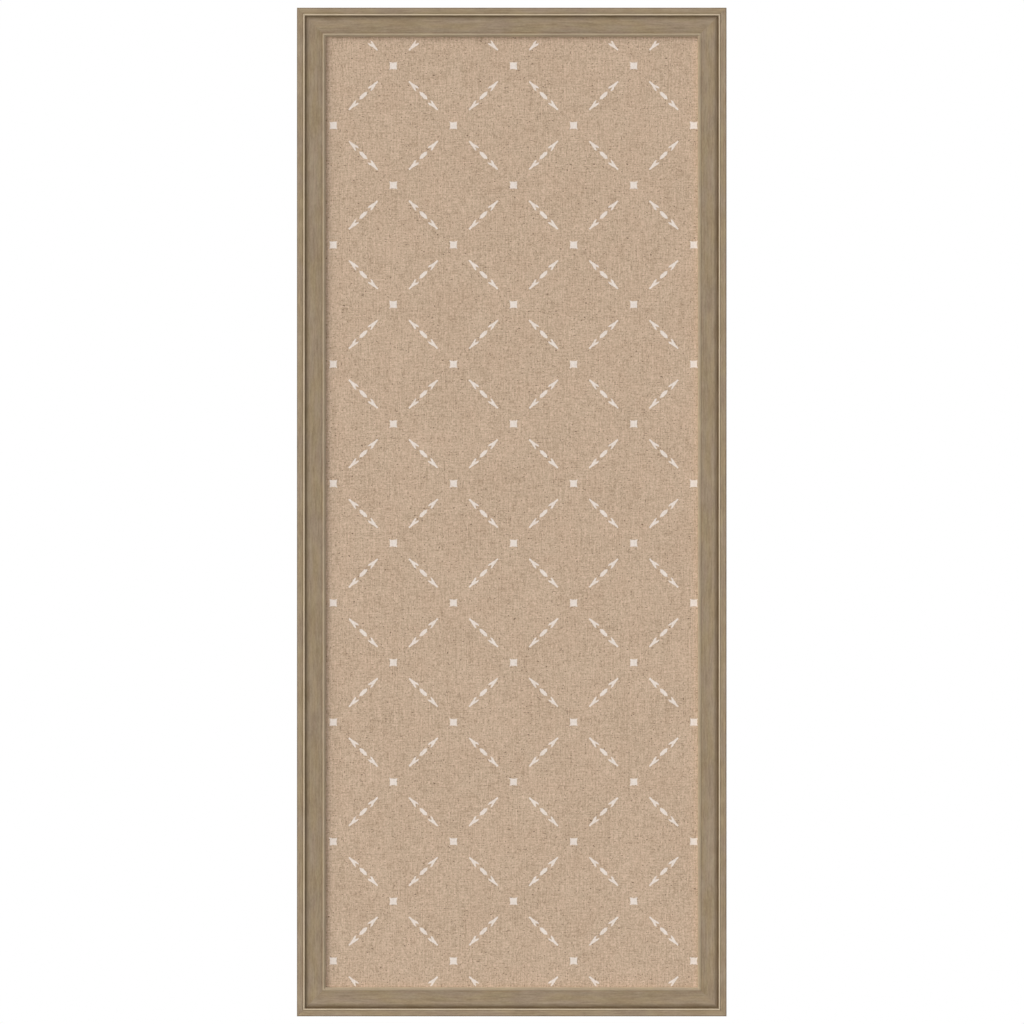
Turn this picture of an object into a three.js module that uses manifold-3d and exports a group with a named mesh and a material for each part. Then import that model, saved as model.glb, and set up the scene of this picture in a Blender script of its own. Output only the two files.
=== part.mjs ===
// A framed memo board: a linen-covered pin panel held in a mitred moulded frame,
// closed behind with paper and hung from two D-rings that swing on strap hangers.
// Millimetres. +Z is up, +X is right as seen from the front, and the front faces -Y.
// The origin is the middle of the back, on the wall that the board hangs against.
import * as THREE from "three";
import { mergeVertices } from "three/addons/utils/BufferGeometryUtils.js";
import Module from "manifold-3d";

// Whole board
const boardWidth = 453;
const boardHeight = 1063.6;

// Frame moulding, widths in order from the outer edge to the sight edge
const outerBandWidth = 5.8;
const lipQuirkWidth = 0.7;
const lipBeadWidth = 2;
const stepWidth = 1.3;
const coveWidth = 3.4;
const fieldWidth = 12.5;
const sightQuirkWidth = 1.3;
const sightBeadWidth = 1.7;
const sightBevelWidth = 1.5;

// Frame moulding, heights and depths
const fieldRise = 5.5; // from the rabbet's ledge forwards to the wide field
const fieldFall = 0.3; // how much the field slopes down towards the sight edge
const coveRise = 0.5; // the cove's outer edge above the field
const stepRise = 1.8; // the steep step up from the cove to the outer band
const lipBeadRise = 0.5;
const sightBeadRise = 0.5;
const sightBevelDrop = 1.2;
const quirkDepth = 0.5;
const arrisRadius = 1;
const rabbetWidth = 6.4; // how far the lip covers the panel
const mitreGap = 0.2; // along the frame's edge, between two mitred ends

// Pin panel, in order from the front
const panelPlay = 0.5; // between the panel's edge and the wall of the rabbet
const linenThickness = 0.7;
const corkThickness = 6;
const backingThickness = 2.5;
const hemWidth = 25; // linen turned over onto the back of the panel

// Clearances
const glueLine = 0.1; // between flat faces that are glued or pressed together
const fitGap = 0.3; // round a piece that sits in a hole or slot
const overrun = 1; // how far a cutter runs past the face that it opens

// V-nails that pull each mitre together from behind
const nailSteel = 0.5;
const nailLeg = 5;
const nailLength = 10;
const nailRecess = 0.5;
const outerNailInset = 6; // from the frame's outer edges to the outer nail
const nailSpacing = 11; // from the outer nail to the inner one, along each edge

// Steel points that hold the panel in the rabbet
const pointSteel = 0.5;
const pointWidth = 8;
const pointBite = 6; // length driven into the wood
const pointTip = 3; // length of the tapered end
const pointOverhang = 9; // length left over the panel
const woodBehindPoints = 2.5;
const pointsPerStile = 5;
const pointsPerRail = 2;

// Paper dust cover
const paperThickness = 0.25;
const paperMargin = 3; // of bare frame left round the paper

// Strap hangers and their D-rings
const hangerDrop = 200; // from the top of the frame to the rings' axis
const strapWidth = 14;
const strapSteel = 0.9;
const strapCorner = 4;
const strapTail = 6; // from the lower screw to the strap's end
const rollGap = 0.3; // between the strap and the end that is rolled back to it
const screwSpacing = 13;
const ringWireRadius = 1;
const ringClearance = 0.3; // between the ring's bar and the rolled barrel
const ringSideGap = 0.4; // between the barrel's end and the start of the ring's bend
const ringBendInside = 1.2; // inner radius of the ring's two tight corners
const ringReach = 13; // from the axis to the middle of the wire at the far end

// Pan-head screws
const screwLength = 12;
const screwTip = 3;
const screwRadius = 1.6;
const screwHeadRadius = 3.2;
const screwHeadRim = 0.7;
const screwHeadDome = 1.1;
const recessReach = 1.7; // half the length of the cross recess
const recessSlot = 0.7;
const recessDepth = 1;
const headToRing = 0.8; // between the hanging ring and the upper screw's head

// Wall bumpers
const bumperRadius = 6;
const bumperEdge = 0.8;
const wallClearance = 0.3; // between the hangers and the wall

// How finely curves are divided
const profileSegments = 3;
const roundSides = 24;
const domeSteps = 4;
const wireSides = 10;
const wireSteps = 56;
const bezierArcShare = 0.5523; // how far a Bezier handle goes to follow a quarter ellipse
const mergeReach = 1e-4;

// Worked out from the sizes above
const rabbetDepth =
  5 * glueLine + 2 * linenThickness + corkThickness + backingThickness +
  pointSteel + woodBehindPoints;
const faceWidth =
  outerBandWidth + lipQuirkWidth + lipBeadWidth + stepWidth + coveWidth +
  fieldWidth + sightQuirkWidth + sightBeadWidth + sightBevelWidth;
const backWidth = faceWidth - rabbetWidth;
const panelWidth = boardWidth - 2 * (backWidth + panelPlay);
const panelHeight = boardHeight - 2 * (backWidth + panelPlay);
const boardInset = linenThickness + glueLine; // from the panel's edge to the cork's
const barrelBore = ringWireRadius + ringClearance;
const barrelRadius = barrelBore + strapSteel;
const upperScrewDrop = ringReach + ringWireRadius + headToRing + screwHeadRadius;
const strapLength = upperScrewDrop + screwSpacing + strapTail;
const bumperHeight = glueLine + 2 * barrelRadius + wallClearance;
const hangerX = boardWidth / 2 - backWidth / 2;
const hangerZ = boardHeight / 2 - hangerDrop;
const bumperZ = backWidth / 2 - boardHeight / 2;

// Depths along Y, from the wall forwards
const paperBackY = -(bumperHeight + glueLine);
const paperFrontY = paperBackY - paperThickness;
const frameBackY = paperFrontY - glueLine;
const linenFrontY = frameBackY - rabbetDepth + glueLine;
const corkFrontY = linenFrontY + linenThickness + glueLine;
const corkBackY = corkFrontY + corkThickness;
const backingFrontY = corkBackY + glueLine;
const backingBackY = backingFrontY + backingThickness;
const linenBackY = backingBackY + glueLine + linenThickness;
const pointFrontY = linenBackY + glueLine;
const hangerAxisY = paperBackY + glueLine + barrelRadius;
const screwHeadY = hangerAxisY - barrelBore + glueLine;

const finishes = {
  moulding: new THREE.MeshStandardMaterial({ color: 0x99876f, roughness: 0.55 }),
  linen: new THREE.MeshStandardMaterial({ color: 0xc0a991, roughness: 0.95 }),
  cork: new THREE.MeshStandardMaterial({ color: 0xb08a5c, roughness: 0.95 }),
  hardboard: new THREE.MeshStandardMaterial({ color: 0x6b4a30, roughness: 0.8 }),
  paper: new THREE.MeshStandardMaterial({ color: 0xa9845a, roughness: 0.9 }),
  steel: new THREE.MeshStandardMaterial({ color: 0xb9b7b0, roughness: 0.35, metalness: 1 }),
  rubber: new THREE.MeshStandardMaterial({ color: 0x2b2a28, roughness: 0.9 }),
};

// The four sides of the frame, in turns of a quarter about Y from the top
const quarter = Math.PI / 2;
const sides = [
  { name: "frame_top_rail", edge: "top", length: boardWidth, reach: boardHeight / 2, turn: 0 },
  { name: "frame_right_stile", edge: "right", length: boardHeight, reach: boardWidth / 2, turn: 1 },
  { name: "frame_bottom_rail", edge: "bottom", length: boardWidth, reach: boardHeight / 2, turn: 2 },
  { name: "frame_left_stile", edge: "left", length: boardHeight, reach: boardWidth / 2, turn: 3 },
];
const hangers = [
  { side: "left", x: -hangerX },
  { side: "right", x: hangerX },
];

const xAxis = new THREE.Vector3(1, 0, 0);
const yAxis = new THREE.Vector3(0, 1, 0);
const zAxis = new THREE.Vector3(0, 0, 1);

const wasm = await Module();
wasm.setup();

// A closed geometry as a solid that can be cut and joined.
function solidOf(geometry) {
  const bare = geometry.clone();
  bare.deleteAttribute("normal");
  bare.deleteAttribute("uv");
  const merged = mergeVertices(bare, mergeReach);
  const mesh = new wasm.Mesh({
    numProp: 3,
    vertProperties: merged.attributes.position.array,
    triVerts: new Uint32Array(merged.index.array),
  });
  return new wasm.Manifold(mesh);
}

function geometryOf(solid) {
  const { vertProperties, triVerts } = solid.getMesh();
  const geometry = new THREE.BufferGeometry();
  geometry.setAttribute("position", new THREE.BufferAttribute(vertProperties, 3));
  geometry.setIndex(new THREE.BufferAttribute(triVerts, 1));
  geometry.computeVertexNormals();
  return geometry;
}

// The geometry with every cutter taken out of it.
function cut(geometry, cutters) {
  const left = (solid, cutter) => solid.subtract(solidOf(cutter));
  return geometryOf(cutters.reduce(left, solidOf(geometry)));
}

// What two geometries have in common.
function common(geometry, other) {
  return geometryOf(solidOf(geometry).intersect(solidOf(other)));
}

// A box from its lowest to its highest corner.
function block(low, high) {
  const size = high.map((value, axis) => value - low[axis]);
  const middle = high.map((value, axis) => (value + low[axis]) / 2);
  return new THREE.BoxGeometry(...size).translate(...middle);
}

// A box centred on the Y axis, from its width, its height and its two depths.
function panel(width, height, frontY, backY) {
  return block([-width / 2, frontY, -height / 2], [width / 2, backY, height / 2]);
}

// An outline in X and Z, given thickness backwards from y = 0.
function plate(outline, thickness) {
  const options = { depth: thickness, bevelEnabled: false, curveSegments: roundSides / 4 };
  const geometry = new THREE.ExtrudeGeometry(outline, options);
  return geometry.rotateX(quarter).translate(0, thickness, 0);
}

function outlineOf(points) {
  return new THREE.Shape(points.map(([x, z]) => new THREE.Vector2(x, z)));
}

// A round piece along Y, from points of [radius, y] that start and end on the axis.
function turned(profile) {
  const points = profile.map(([radius, y]) => new THREE.Vector2(radius, y));
  return new THREE.LatheGeometry(points, roundSides);
}

// Where a piece goes: turned about Y by quarters, then moved.
function place(x, y, z, turns = 0) {
  return new THREE.Matrix4().makeRotationY(turns * quarter).setPosition(x, y, z);
}

// Where a piece goes that belongs to one edge of the frame, from its own X, Y and Z.
function placeOnSide(side, along, y, inward) {
  const turn = new THREE.Matrix4().makeRotationY(side.turn * quarter);
  return turn.multiply(place(along, y, side.reach - inward));
}

const board = new THREE.Group();

function addPiece(name, geometry, material, matrix = place(0, 0, 0)) {
  const piece = new THREE.Mesh(geometry, material);
  piece.name = name;
  piece.position.setFromMatrixPosition(matrix);
  piece.quaternion.setFromRotationMatrix(matrix);
  board.add(piece);
}

// V-nails: a bent strip with one leg in each side of the mitre.
function nailOutline(gap) {
  const out = gap;
  const end = -nailLeg - gap;
  const inner = -nailSteel - gap;
  return outlineOf([[out, out], [end, out], [end, inner], [inner, inner], [inner, end], [out, end]]);
}

function nailPlaces() {
  const corners = ["top_right", "bottom_right", "bottom_left", "top_left"];
  const insets = { outer: outerNailInset, inner: outerNailInset + nailSpacing };
  return corners.flatMap((corner, turn) =>
    Object.entries(insets).map(([rank, inset]) => {
      const across = turn % 2 ? boardHeight : boardWidth;
      const up = turn % 2 ? boardWidth : boardHeight;
      const base = place(across / 2 - inset, frameBackY - nailRecess - nailLength, up / 2 - inset);
      const matrix = new THREE.Matrix4().makeRotationY(turn * quarter).multiply(base);
      return { name: `v_nail_${corner}_${rank}`, matrix };
    }),
  );
}

function nail() {
  return plate(nailOutline(0), nailLength);
}

function nailSlot() {
  const depth = fitGap + nailLength + nailRecess + overrun;
  return plate(nailOutline(fitGap), depth).translate(0, -fitGap, 0);
}

// Framing points: flat steel driven into the wall of the rabbet, tip first.
function framingPoint() {
  const half = pointWidth / 2;
  const shoulder = pointBite - pointTip;
  const outline = outlineOf([
    [-half, -pointOverhang], [half, -pointOverhang], [half, shoulder], [0, pointBite], [-half, shoulder],
  ]);
  return plate(outline, pointSteel);
}

function pointSlot() {
  const half = pointWidth / 2 + fitGap;
  return block([-half, -fitGap, -overrun], [half, pointSteel + fitGap, pointBite + fitGap]);
}

function pointPlaces(side) {
  const count = side.turn % 2 ? pointsPerStile : pointsPerRail;
  const pitch = (side.length - 2 * faceWidth) / count;
  return Array.from({ length: count }, (_, index) => {
    const along = (index - (count - 1) / 2) * pitch;
    const matrix = placeOnSide(side, along, pointFrontY, backWidth);
    return { name: `framing_point_${side.edge}_${index + 1}`, matrix };
  });
}

// Screws and the holes that they pass through, from the underside of the head.
function screw() {
  const dome = Array.from({ length: domeSteps }, (_, index) => {
    const angle = (quarter * (index + 1)) / domeSteps;
    const radius = index + 1 < domeSteps ? screwHeadRadius * Math.cos(angle) : 0;
    return [radius, screwHeadRim + screwHeadDome * Math.sin(angle)];
  });
  const body = turned([
    [0, -screwLength],
    [screwRadius, screwTip - screwLength],
    [screwRadius, 0],
    [screwHeadRadius, 0],
    [screwHeadRadius, screwHeadRim],
    ...dome,
  ]);
  const top = screwHeadRim + screwHeadDome;
  const half = recessSlot / 2;
  const arms = [
    block([-recessReach, top - recessDepth, -half], [recessReach, top + overrun, half]),
    block([-half, top - recessDepth, -recessReach], [half, top + overrun, recessReach]),
  ];
  return cut(body, arms);
}

function screwHole() {
  const radius = screwRadius + fitGap;
  const bottom = -screwLength - fitGap;
  return turned([[0, bottom], [radius, bottom], [radius, overrun], [0, overrun]]);
}

function screwPlaces() {
  return hangers.flatMap(({ side, x }) => [
    { name: `${side}_upper_screw`, matrix: place(x, screwHeadY, hangerZ - upperScrewDrop) },
    { name: `${side}_lower_screw`, matrix: place(x, screwHeadY, hangerZ - upperScrewDrop - screwSpacing) },
  ]);
}

// The moulding's section: X runs inwards from the outer edge, Y forwards from the back.
function mouldingOutline() {
  const field = rabbetDepth + fieldRise;
  const coveTop = field + coveRise;
  const band = coveTop + stepRise;
  const fieldEnd = field - fieldFall;
  const lipStart = outerBandWidth + lipQuirkWidth;
  const lipMiddle = lipStart + lipBeadWidth / 2;
  const lipEnd = lipStart + lipBeadWidth;
  const coveStart = lipEnd + stepWidth;
  const fieldStart = coveStart + coveWidth;
  const quirkStart = fieldStart + fieldWidth;
  const beadStart = quirkStart + sightQuirkWidth;
  const beadMiddle = beadStart + sightBeadWidth / 2;
  const outline = new THREE.Shape();
  outline.moveTo(0, 0);
  outline.lineTo(0, band - arrisRadius);
  outline.absarc(arrisRadius, band - arrisRadius, arrisRadius, Math.PI, quarter, true);
  outline.lineTo(outerBandWidth, band);
  outline.lineTo(outerBandWidth + lipQuirkWidth / 2, band - quirkDepth);
  outline.lineTo(lipStart, band);
  outline.absellipse(lipMiddle, band, lipBeadWidth / 2, lipBeadRise, Math.PI, 0, true);
  outline.lineTo(coveStart, coveTop);
  outline.absellipse(fieldStart, coveTop, coveWidth, coveRise, Math.PI, 3 * quarter, false);
  outline.lineTo(quirkStart, fieldEnd);
  outline.lineTo(quirkStart + sightQuirkWidth / 2, fieldEnd - quirkDepth);
  outline.lineTo(beadStart, fieldEnd);
  outline.absellipse(beadMiddle, fieldEnd, sightBeadWidth / 2, sightBeadRise, Math.PI, 0, true);
  outline.lineTo(faceWidth, fieldEnd - sightBevelDrop);
  outline.lineTo(faceWidth, rabbetDepth);
  outline.lineTo(backWidth, rabbetDepth);
  outline.lineTo(backWidth, 0);
  return outline;
}

// One side of the frame along X, its outer edge at z = 0 and each end cut to 45 degrees.
function mitredRail(length) {
  const options = { depth: 1, bevelEnabled: false, curveSegments: profileSegments };
  const geometry = new THREE.ExtrudeGeometry(mouldingOutline(), options);
  const position = geometry.getAttribute("position");
  for (let index = 0; index < position.count; index++) {
    const inward = position.getX(index);
    const forward = position.getY(index);
    const end = 1 - 2 * position.getZ(index);
    position.setXYZ(index, end * (length / 2 - inward - mitreGap / 2), -forward, -inward);
  }
  return geometry;
}

function addFrame() {
  const openings = [
    ...nailPlaces().map(({ matrix }) => nailSlot().applyMatrix4(matrix)),
    ...sides.flatMap(pointPlaces).map(({ matrix }) => pointSlot().applyMatrix4(matrix)),
    ...screwPlaces().map(({ matrix }) => screwHole().applyMatrix4(matrix)),
  ];
  for (const side of sides) {
    const matrix = placeOnSide(side, 0, frameBackY, 0);
    const toSide = matrix.clone().invert();
    const cutters = openings.map((opening) => opening.clone().applyMatrix4(toSide));
    addPiece(side.name, cut(mitredRail(side.length), cutters), finishes.moulding, matrix);
  }
}

// The linen goes over the front and the edges and is turned in behind, where it stays open.
function addPanel() {
  const boardWide = panelWidth - 2 * boardInset;
  const boardHigh = panelHeight - 2 * boardInset;
  const hollowWide = boardWide + 2 * glueLine;
  const hollowHigh = boardHigh + 2 * glueLine;
  const hemInset = linenThickness + hemWidth;
  const cloth = cut(panel(panelWidth, panelHeight, linenFrontY, linenBackY), [
    panel(hollowWide, hollowHigh, corkFrontY - glueLine, backingBackY + glueLine),
    panel(panelWidth - 2 * hemInset, panelHeight - 2 * hemInset, backingBackY, linenBackY + overrun),
  ]);
  const cork = panel(boardWide, boardHigh, corkFrontY, corkBackY);
  const backing = panel(boardWide, boardHigh, backingFrontY, backingBackY);
  addPiece("linen_cover", cloth, finishes.linen);
  addPiece("cork_board", cork, finishes.cork);
  addPiece("hardboard_backing", backing, finishes.hardboard);
}

function addDustCover() {
  const wide = boardWidth - 2 * paperMargin;
  const high = boardHeight - 2 * paperMargin;
  const sheet = panel(wide, high, paperFrontY, paperBackY);
  const holes = screwPlaces().map(({ matrix }) => screwHole().applyMatrix4(matrix));
  addPiece("dust_cover", cut(sheet, holes), finishes.paper);
}

// The strap hangs down from the ring's axis and is rolled round it at the top.
function strap() {
  const rollEnd = -Math.PI + Math.acos((barrelBore - rollGap) / barrelRadius);
  const section = new THREE.Shape();
  section.moveTo(-barrelRadius, -strapLength);
  section.lineTo(-barrelRadius, 0);
  section.absarc(0, 0, barrelRadius, Math.PI, rollEnd, true);
  section.absarc(0, 0, barrelBore, rollEnd, Math.PI, false);
  section.lineTo(-barrelBore, -strapLength);
  const options = { depth: strapWidth, bevelEnabled: false, curveSegments: roundSides / 2 };
  const sectionToSide = new THREE.Matrix4().makeBasis(yAxis, zAxis, xAxis);
  const strip = new THREE.ExtrudeGeometry(section, options).applyMatrix4(sectionToSide);
  strip.translate(-strapWidth / 2, 0, 0);

  const half = strapWidth / 2;
  const corner = Math.min(strapCorner, half);
  const bottom = corner - strapLength;
  const face = new THREE.Shape();
  face.moveTo(-half, barrelRadius + overrun);
  face.lineTo(-half, bottom);
  face.absarc(corner - half, bottom, corner, Math.PI, 3 * quarter, false);
  face.absarc(half - corner, bottom, corner, -quarter, 0, false);
  face.lineTo(half, barrelRadius + overrun);
  const keeper = plate(face, 2 * (barrelRadius + overrun)).translate(0, -barrelRadius - overrun, 0);
  return common(strip, keeper);
}

// A quarter of an ellipse, from its start round the corner of its tangents to its end.
function bend(start, corner, end) {
  const lean = (point) => point.clone().lerp(corner, bezierArcShare);
  return new THREE.CubicBezierCurve3(start, lean(start), lean(end), end);
}

// The ring is one closed wire: a straight bar on the axis and a bow below it.
function dRing() {
  const barHalf = strapWidth / 2 + ringSideGap;
  const bendRadius = ringBendInside + ringWireRadius;
  const side = barHalf + bendRadius;
  const at = (x, drop) => new THREE.Vector3(x, 0, -drop);
  const path = new THREE.CurvePath();
  path.add(new THREE.LineCurve3(at(-barHalf, 0), at(barHalf, 0)));
  path.add(bend(at(barHalf, 0), at(side, 0), at(side, bendRadius)));
  path.add(bend(at(side, bendRadius), at(side, ringReach), at(0, ringReach)));
  path.add(bend(at(0, ringReach), at(-side, ringReach), at(-side, bendRadius)));
  path.add(bend(at(-side, bendRadius), at(-side, 0), at(-barHalf, 0)));
  return new THREE.TubeGeometry(path, wireSteps, ringWireRadius, wireSides, true);
}

function addHangers() {
  const holes = screwPlaces().map(({ matrix }) => screwHole().applyMatrix4(matrix));
  for (const { side, x } of hangers) {
    const matrix = place(x, hangerAxisY, hangerZ);
    const toHanger = matrix.clone().invert();
    const cutters = holes.map((hole) => hole.clone().applyMatrix4(toHanger));
    addPiece(`${side}_strap_hanger`, cut(strap(), cutters), finishes.steel, matrix);
    addPiece(`${side}_d_ring`, dRing(), finishes.steel, matrix);
  }
  for (const { name, matrix } of screwPlaces()) {
    addPiece(name, screw(), finishes.steel, matrix);
  }
}

function bumper() {
  const edge = Array.from({ length: domeSteps }, (_, index) => {
    const angle = (quarter * (index + 1)) / domeSteps;
    return [bumperRadius - bumperEdge * (1 - Math.cos(angle)), bumperEdge * (Math.sin(angle) - 1)];
  });
  return turned([
    [0, -bumperHeight],
    [bumperRadius, -bumperHeight],
    [bumperRadius, -bumperEdge],
    ...edge,
    [0, 0],
  ]);
}

addFrame();
for (const { name, matrix } of nailPlaces()) {
  addPiece(name, nail(), finishes.steel, matrix);
}
addPanel();
for (const { name, matrix } of sides.flatMap(pointPlaces)) {
  addPiece(name, framingPoint(), finishes.steel, matrix);
}
addDustCover();
addHangers();
for (const { side, x } of hangers) {
  addPiece(`${side}_bumper`, bumper(), finishes.rubber, place(x, 0, bumperZ));
}

export default board;
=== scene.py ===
import math
import bmesh
import bpy
import numpy as np
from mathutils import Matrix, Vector


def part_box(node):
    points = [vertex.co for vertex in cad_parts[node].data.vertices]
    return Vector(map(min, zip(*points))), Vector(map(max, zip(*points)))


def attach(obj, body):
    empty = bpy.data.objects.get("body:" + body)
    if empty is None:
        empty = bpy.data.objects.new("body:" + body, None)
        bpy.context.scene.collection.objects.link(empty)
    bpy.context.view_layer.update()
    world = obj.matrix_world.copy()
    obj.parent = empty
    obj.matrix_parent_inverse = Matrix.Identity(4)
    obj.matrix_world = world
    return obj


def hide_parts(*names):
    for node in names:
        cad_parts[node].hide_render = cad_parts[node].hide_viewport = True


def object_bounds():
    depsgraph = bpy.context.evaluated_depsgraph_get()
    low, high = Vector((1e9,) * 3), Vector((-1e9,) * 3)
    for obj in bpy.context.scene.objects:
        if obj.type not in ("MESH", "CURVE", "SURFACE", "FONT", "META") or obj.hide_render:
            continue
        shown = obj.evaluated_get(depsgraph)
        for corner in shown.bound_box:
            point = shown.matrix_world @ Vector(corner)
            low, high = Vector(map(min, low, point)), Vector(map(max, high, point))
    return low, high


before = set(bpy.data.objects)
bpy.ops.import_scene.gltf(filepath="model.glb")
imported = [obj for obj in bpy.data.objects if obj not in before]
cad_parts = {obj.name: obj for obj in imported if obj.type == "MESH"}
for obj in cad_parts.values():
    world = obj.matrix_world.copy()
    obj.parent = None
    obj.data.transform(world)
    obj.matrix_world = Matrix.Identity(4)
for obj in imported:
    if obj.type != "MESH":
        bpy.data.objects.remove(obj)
cadBox = [list(corner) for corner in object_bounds()]
print("frame loaded:", len(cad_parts), "nodes")

mm = 0.001  # sizes in the dictionaries are millimetres; +X right, +Z up, the front faces -Y
boardWidth = cadBox[1][0] - cadBox[0][0]
boardHeight = cadBox[1][2] - cadBox[0][2]
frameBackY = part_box("frame_top_rail")[1].y
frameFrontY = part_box("frame_top_rail")[0].y

# camera, floor and light
cameraSetup = {
    "lens": 200,
    "sensor": 36,
    "imageSize": 1024,
    "leftPixel": 296.9,  # the frame's outer edges in the picture
    "rightPixel": 726.6,
    "topPixel": 7.6,
    "bottomPixel": 1016.4,
}


def addObject(name, data):
    made = bpy.data.objects.new(name, data)
    bpy.context.scene.collection.objects.link(made)
    return made


def addCamera(setup):
    # straight on: a pixel is the frame's width over its pixels, and the distance follows from the lens
    pixel = boardWidth / (setup["rightPixel"] - setup["leftPixel"])
    distance = pixel * setup["imageSize"] * setup["lens"] / setup["sensor"]
    middle = setup["imageSize"] / 2
    across = (setup["leftPixel"] + setup["rightPixel"]) / 2 - middle
    down = (setup["topPixel"] + setup["bottomPixel"]) / 2 - middle
    camera = addObject("camera", bpy.data.cameras.new("camera"))
    camera.data.lens = setup["lens"]
    camera.data.sensor_width = setup["sensor"]
    camera.location = (-across * pixel, frameFrontY - distance, down * pixel)
    camera.rotation_euler = (math.pi / 2, 0, 0)
    bpy.context.scene.camera = camera


def addNode(tree, kind, inputs=None, **settings):
    # a shader node with its settings; each input is a value or another node's output
    made = tree.nodes.new(kind)
    for key, value in settings.items():
        setattr(made, key, value)
    for key, value in (inputs or {}).items():
        if isinstance(value, bpy.types.NodeSocket):
            tree.links.new(value, made.inputs[key])
        else:
            made.inputs[key].default_value = value
    return made


def mathNode(operation, *values, clamp=False):
    # one step of arithmetic on plain values and other nodes' outputs, in the tree of those nodes
    tree = next(value.id_data for value in values if isinstance(value, bpy.types.NodeSocket))
    made = addNode(tree, "ShaderNodeMath", dict(enumerate(values)), operation=operation, use_clamp=clamp)
    return made.outputs[0]


def newMaterial(name, roughness=0.5, specular=0.5, metallic=0):
    material = bpy.data.materials.new(name)
    material.use_nodes = True
    shader = material.node_tree.nodes["Principled BSDF"]
    values = {"Roughness": roughness, "Specular IOR Level": specular, "Metallic": metallic}
    for key, value in values.items():
        shader.inputs[key].default_value = value
    return material, shader


def backgroundRays(tree):
    # 1 for rays that see the background straight, by a reflection or through glass
    path = addNode(tree, "ShaderNodeLightPath").outputs
    seen = mathNode("MAXIMUM", path["Is Camera Ray"], path["Is Glossy Ray"])
    return mathNode("MAXIMUM", seen, path["Is Transmission Ray"])


# share: the part of full light that a face square to Y gets; spread: the lamp's width in degrees
lampSetup = {
    "frontFill": {"side": (0, -1, 0), "share": 0.33, "spread": 20},
    "frontKey": {"side": (-0.96, -1, 0.66), "share": 0.48, "spread": 58},
    "backFill": {"side": (-0.3, 1, 0.2), "share": 0.32, "spread": 110},
    "backKey": {"side": (0.85, 1, 0.85), "share": 0.45, "spread": 60},
}
worldSetup = {
    "share": 0.12,
    "tint": (0.88, 0.98, 1.2, 1),
    "floorDrop": 2600,  # below the board, which hangs on a wall
    "floorReach": 11000,
    "floorGrey": 0.2,
}


def addLamps(setup):
    # a lamp at an angle a to Y gives a face square to Y the light energy * cos a, and full light is pi
    for name, lamp in setup.items():
        side = np.array(lamp["side"], float)
        side /= np.linalg.norm(side)
        sun = addObject(name, bpy.data.lights.new(name, "SUN"))
        sun.data.energy = math.pi * lamp["share"] / abs(side[1])
        sun.data.angle = math.radians(lamp["spread"])
        sun.rotation_euler = Vector(side).to_track_quat("Z", "Y").to_euler()


def addWorld(setup):
    world = bpy.data.worlds.new("studio")
    world.use_nodes = True
    tree = world.node_tree
    tree.nodes.clear()
    light = addNode(tree, "ShaderNodeBackground", {"Color": setup["tint"], "Strength": setup["share"]})
    white = addNode(tree, "ShaderNodeBackground", {"Color": (1, 1, 1, 1), "Strength": 1})
    inputs = {0: backgroundRays(tree), 1: light.outputs[0], 2: white.outputs[0]}
    both = addNode(tree, "ShaderNodeMixShader", inputs)
    addNode(tree, "ShaderNodeOutputWorld", {"Surface": both.outputs[0]})
    bpy.context.scene.world = world


def addFloor(setup):
    # a square whose glow makes it white to the eye but lights nothing
    reach = setup["floorReach"] * mm
    height = cadBox[0][2] - setup["floorDrop"] * mm
    corners = [(x * reach, y * reach, height) for x, y in ((-1, -1), (1, -1), (1, 1), (-1, 1))]
    mesh = bpy.data.meshes.new("floor")
    mesh.from_pydata(corners, [], [(0, 1, 2, 3)])
    material, shader = newMaterial("paleFloor", roughness=1)
    tree = material.node_tree
    grey, white = [(*[share] * 3, 1) for share in (setup["floorGrey"], 1 - setup["floorGrey"])]
    shader.inputs["Base Color"].default_value = grey
    glow = addNode(tree, "ShaderNodeEmission", {"Color": white, "Strength": backgroundRays(tree)})
    both = addNode(tree, "ShaderNodeAddShader", {0: shader.outputs[0], 1: glow.outputs[0]})
    tree.links.new(both.outputs[0], tree.nodes["Material Output"].inputs["Surface"])
    mesh.materials.append(material)
    floor = addObject("floor", mesh)


bpy.context.scene.view_settings.view_transform = "Standard"
addCamera(cameraSetup)
addLamps(lampSetup)
addWorld(worldSetup)
addFloor(worldSetup)
print("camera, lamps and floor set")


# materials
def colour(code):
    # a colour written as in a picture editor, as the linear values that shaders take
    levels = np.array([int(code[first : first + 2], 16) / 255 for first in (0, 2, 4)])
    return (*np.where(levels < 0.04045, levels / 12.92, ((levels + 0.055) / 1.055) ** 2.4), 1)


def surfacePlace(shader):
    # the place on the piece's own UV map, in metres
    return addNode(shader.id_data, "ShaderNodeUVMap", uv_map="surface").outputs[0]


def objectPlace(shader):
    return addNode(shader.id_data, "ShaderNodeTexCoord").outputs["Object"]


def axes(place):
    return addNode(place.id_data, "ShaderNodeSeparateXYZ", {0: place}).outputs


def noise(place, size, detail=0, shift=()):
    # smooth noise whose spots measure size, in millimetres, along each axis of place; flat for two sizes
    scale = [1 / (length * mm) for length in (*size, 1)[:3]]
    inputs = {"Vector": place, "Scale": scale, "Location": (*shift, 0, 0, 0)[:3]}
    mapping = addNode(place.id_data, "ShaderNodeMapping", inputs)
    inputs = {"Vector": mapping.outputs[0], "Scale": 1, "Detail": detail, "Roughness": 0.5}
    kind = "2D" if len(size) == 2 else "3D"
    return addNode(place.id_data, "ShaderNodeTexNoise", inputs, noise_dimensions=kind).outputs[0]


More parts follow.
